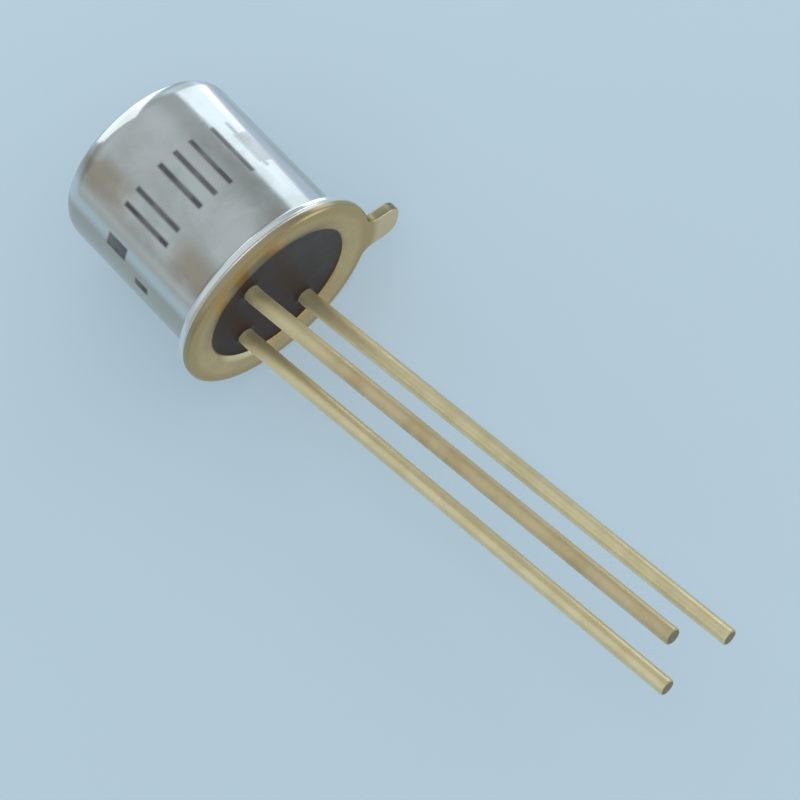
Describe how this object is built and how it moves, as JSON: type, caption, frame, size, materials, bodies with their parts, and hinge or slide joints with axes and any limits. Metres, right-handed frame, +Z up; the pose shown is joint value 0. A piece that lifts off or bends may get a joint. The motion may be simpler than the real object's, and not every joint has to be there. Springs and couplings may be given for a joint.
{
  "type": "junction field-effect transistor",
  "caption": "Small metal-can junction field-effect transistor lying on its side, with a tabbed header, a glass seal and bent wire leads.",
  "frame": {"origin": "on the surface the part rests on, under the middle of its bounding box", "axes": "+Z up from the resting surface; +X from the can towards the ends of the leads, along the part's length; +Y towards the side the tab points to"},
  "size_m": [0.0183, 0.0058, 0.0071],
  "materials": {
    "nickel": "satin",
    "gold_plate": "satin",
    "dark_glass": "gloss",
    "silicon": "gloss",
    "bond_gold": "satin"
  },
  "bodies": {
    "root": {"can": "nickel", "header": "gold_plate", "glass": "dark_glass", "source_lead": "gold_plate", "drain_lead": "gold_plate", "gate_lead": "gold_plate", "die": "silicon", "die_solder": "bond_gold", "source_wire": "bond_gold", "drain_wire": "bond_gold"}
  },
  "joints": []
}
